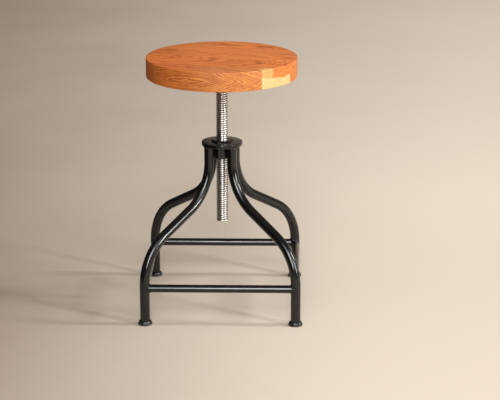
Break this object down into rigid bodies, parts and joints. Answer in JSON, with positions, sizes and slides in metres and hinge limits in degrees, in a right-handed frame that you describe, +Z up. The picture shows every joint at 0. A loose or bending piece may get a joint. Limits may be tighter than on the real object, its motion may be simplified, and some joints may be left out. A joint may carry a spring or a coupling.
{
  "type": "adjustable screw stool",
  "caption": "Round wooden stool whose seat screws up and down on a threaded steel spindle in a hub nut, on a splayed frame of bent black tube legs joined by foot rails.",
  "frame": {"origin": "on the floor, on the axis of the spindle", "axes": "+Z up along the spindle, -Y towards the front rail, +X to the right seen from the front"},
  "size_m": [0.358, 0.358, 0.56],
  "materials": {
    "black_paint": "semi-gloss black paint on welded steel tube",
    "bright_steel": "bright machined steel",
    "plain_steel": "plain mill steel",
    "warm_wood": "oiled warm brown hardwood"
  },
  "bodies": {
    "frame": {"foot_front_left": "black_paint", "foot_front_right": "black_paint", "foot_back_left": "black_paint", "foot_back_right": "black_paint", "leg_front_left": "black_paint", "leg_front_right": "black_paint", "leg_back_left": "black_paint", "leg_back_right": "black_paint", "rail_front": "black_paint", "rail_back": "black_paint", "rail_left": "black_paint", "rail_right": "black_paint", "hub_disc": "black_paint", "spindle_nut": "black_paint"},
    "lift_ring": {"spindle_weld": "plain_steel"},
    "seat": {"spindle": "bright_steel", "seat_plate": "plain_steel", "seat_screw_1": "bright_steel", "seat_screw_2": "bright_steel", "seat_screw_3": "bright_steel", "seat_screw_4": "bright_steel", "seat_board_1": "warm_wood", "seat_board_2": "warm_wood", "seat_board_3": "warm_wood", "seat_board_4": "warm_wood", "seat_board_5": "warm_wood"}
  },
  "joints": [
    {"name": "seat_lift", "type": "slide", "parent": "frame", "child": "lift_ring", "axis": [0, 0, 1], "range_m": [-0.1313, 0.1463]},
    {"name": "seat_spin", "type": "hinge", "parent": "lift_ring", "child": "seat", "pos_m": [0, 0, 0.51], "axis": [0, 0, 1], "range_deg": [-9450, 10530]}
  ],
  "couplings": [
    {"joint": "seat_lift", "follows": "seat_spin", "m_per_rad": 0.00079577}
  ]
}
